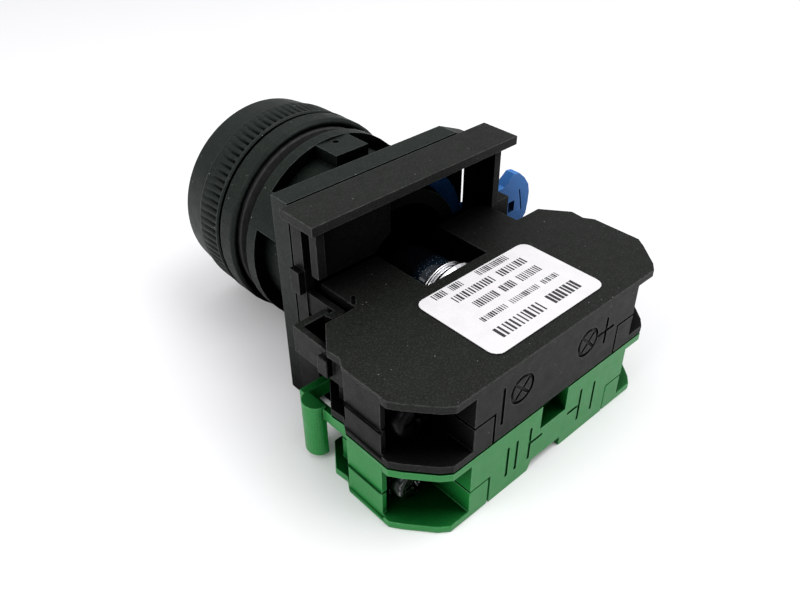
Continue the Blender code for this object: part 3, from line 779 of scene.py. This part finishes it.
def marked_shells():
    """Terminal marks without lettering: polarity and lamp signs above, contact diagram below."""
    rear = high("lamp_module_cover").y
    cutters = lamp_symbol((6.9, 0.6), rear) + lamp_symbol((-4.9, 0.4), rear)
    minus = [((10.0, -2.6), (10.0, 2.4))]
    plus = [((-8.5, -1.6), (-8.5, 2.0)), ((-10.0, 0.2), (-7.1, 0.2))]
    cutters += bars(minus + plus, rear)
    top = high("lamp_module_cover").z
    cutters.append(stroke((13.1, 23.9), (13.9, 24.9), 0.5, top, 0.25, "Z"))
    carved("lamp_cover_marked", "lamp_module_cover", EASE_WIDE, cutters + belts(0.0, -0.3, 4.35))
    steps = belts(0.0, -4.35, -1.1) + belts(0.3, -1.1, 0)
    carved("lamp_base_stepped", "lamp_module_base", EASE_WIDE, steps)
    z = CONTACT_Z
    diagram = [
        ((4.2, z - 2.4), (4.2, z + 2.4)), ((3.9, z), (2.0, z)),
        ((-5.4, z - 2.4), (-5.4, z + 2.4)), ((-5.1, z), (-3.2, z)),
        ((6.6, z - 2.4), (6.6, z + 2.0)), ((8.2, z - 2.4), (8.2, z + 2.0)),
        ((-8.2, z - 2.4), (-8.2, z + 2.0))]
    cover = bars(diagram, rear) + belts(0.0, z - 0.3, z + 4.35)
    carved("contact_cover_marked", "contact_block_cover", EASE_WIDE, cover)
    carved("contact_base_stepped", "contact_block_base", EASE_WIDE, belts(0.0, z - 4.35, z))


def label_print():
    """Rows of plain upright bars in the rhythm of small print, with no letters."""
    rng = random.Random(5)
    face = high("rating_label").z
    left = low("rating_label").x
    rear = high("rating_label").y
    # Each row: distance from the rear edge, height, start, end, and the lengths of its groups.
    rows = [
        (2.5, 1.75, 2.4, 16.6, (4, 6)), (5.3, 0.85, 2.6, 16.2, (4, 7, 6)),
        (7.7, 1.3, 3.1, 14.6, (5, 3, 5)), (10.0, 1.3, 3.1, 15.8, (5, 7)),
        (11.9, 1.1, 4.3, 9.8, (8,)), (11.9, 1.1, 12.4, 17.2, (3, 3))]
    bm = bmesh.new()
    for down, tall, start, end, groups in rows:
        cells = sum(groups) + len(groups) - 1
        pitch = (end - start) / cells
        x = left + start
        middle = rear - down
        for group in groups:
            for _ in range(group):
                add_bars(bm, rng, x, middle, face, pitch, tall)
                x += pitch
            x += pitch
    place(solid("label_print", bm), "black_plastic", FRAME_BODY, look="ink")


def add_bars(bm, rng, x, middle, face, pitch, tall):
    """Two upright bars of one height and unlike widths."""
    base = middle - tall / 2
    for share in (0.08, 0.56):
        first = x + pitch * share
        wide = pitch * rng.choice((0.18, 0.26, 0.34))
        add_block(bm, (first, base, face), (first + wide, base + tall, face + 0.012))


def add_block(bm, lowest, highest):
    """A plain block added to a bmesh."""
    size = Vector(highest) - Vector(lowest)
    centre = (Vector(highest) + Vector(lowest)) / 2
    bmesh.ops.create_cube(bm, size=1.0, matrix=Matrix.Translation(centre) @ Matrix.Diagonal((*size, 1)))


def lever_marks():
    """Lock ring with a curved pointer line and a small recess on its handle."""
    face = high("lock_ring").y
    cutters = [
        stroke((-26.4, 1.1), (-26.7, -0.2), 0.26, face, 0.2),
        stroke((-26.7, -0.2), (-27.2, -2.5), 0.26, face, 0.2),
        block("recess", (-25.4, face - 0.9, -2.1), (-24.0, face + 1, -0.3), 0)]
    carved("lock_ring_marked", "lock_ring", 0.25, cutters)


def main():
    """Make the detailed pieces, then ease the edges of every CAD node still shown."""
    knurled_bezel()
    button_front()
    springs()
    lamp()
    terminals()
    marked_shells()
    label_print()
    lever_marks()
    moulded_slots = ("black_plastic", "green_plastic", "blue_plastic")
    for node in nodes:
        if not nodes[node].hide_render:
            look = "head" if node in HEAD_NODES else None
            ease_edges(node, EASE_WIDE if slot_of_node[node] in moulded_slots else EASE_FINE, look)


# ---------------------------------------------------------------- stage

def pale_floor():
    """Wide pale floor just under the object."""
    bm = bmesh.new()
    half = FLOOR_HALF
    corners = [bm.verts.new(c) for c in (
        (-half, -half, 0), (half, -half, 0), (half, half, 0), (-half, half, 0))]
    bm.faces.new(corners)
    floor = solid("floor", bm)
    floor.location.z = cad_box[0].z - FLOOR_GAP * MM
    look = Look("floor_look", Specular_IOR_Level=0.2)
    shade = look.mix(look.noise(40.0, 2.0), rgba(0.795, 0.795, 0.805), rgba(0.815, 0.815, 0.815))
    floor.data.materials.append(look.done(shade, 0.7))


def soft_light(name, place_mm, target_mm, size_mm, power):
    lamp = bpy.data.lights.new(name, "AREA")
    lamp.shape = "RECTANGLE"
    lamp.size, lamp.size_y = size_mm[0] * MM, size_mm[1] * MM
    lamp.energy = power
    piece = bpy.data.objects.new(name, lamp)
    piece.location = Vector(place_mm) * MM
    aim = Vector(target_mm) - Vector(place_mm)
    piece.rotation_euler = aim.to_track_quat("-Z", "Y").to_euler()
    bpy.context.scene.collection.objects.link(piece)


def studio():
    """Floor, a sky that brightens with height, and two soft lights."""
    pale_floor()
    world = bpy.data.worlds.new("studio")
    world.use_nodes = True
    tree = world.node_tree
    background = tree.nodes["Background"]
    background.inputs["Color"].default_value = (0.985, 0.985, 1.0, 1.0)
    place_in_sky = tree.nodes.new("ShaderNodeTexCoord")
    height = tree.nodes.new("ShaderNodeSeparateXYZ")
    level = tree.nodes.new("ShaderNodeMapRange")
    tree.links.new(place_in_sky.outputs["Generated"], height.inputs["Vector"])
    tree.links.new(height.outputs["Z"], level.inputs["Value"])
    level.inputs["To Min"].default_value = SKY_LOW
    level.inputs["To Max"].default_value = SKY_HIGH
    tree.links.new(level.outputs["Result"], background.inputs["Strength"])
    bpy.context.scene.world = world
    soft_light("key", (-120, 160, 360), (0, 20, 0), (260, 260), 0.97)
    soft_light("fill", (280, 0, 190), (0, 20, 0), (200, 200), 0.48)
    bpy.context.scene.view_settings.view_transform = "Standard"


def camera():
    """Camera that looks down on the terminals from behind and to the side."""
    azimuth, elevation = math.radians(CAMERA_AZIMUTH), math.radians(CAMERA_ELEVATION)
    back = Vector((
        math.sin(azimuth) * math.cos(elevation), -math.cos(azimuth) * math.cos(elevation),
        math.sin(elevation)))
    data = bpy.data.cameras.new("camera")
    data.lens = CAMERA_LENS
    data.sensor_width = 36.0
    data.clip_start, data.clip_end = 0.005, 20.0
    piece = bpy.data.objects.new("camera", data)
    piece.rotation_mode = "QUATERNION"
    turn = Matrix.Rotation(math.radians(CAMERA_ROLL), 4, back).to_quaternion()
    piece.rotation_quaternion = turn @ (-back).to_track_quat("-Z", "Y")
    piece.location = (Vector(CAMERA_TARGET) + back * CAMERA_DISTANCE) * MM
    bpy.context.scene.collection.objects.link(piece)
    bpy.context.scene.camera = piece


main()
studio()
camera()
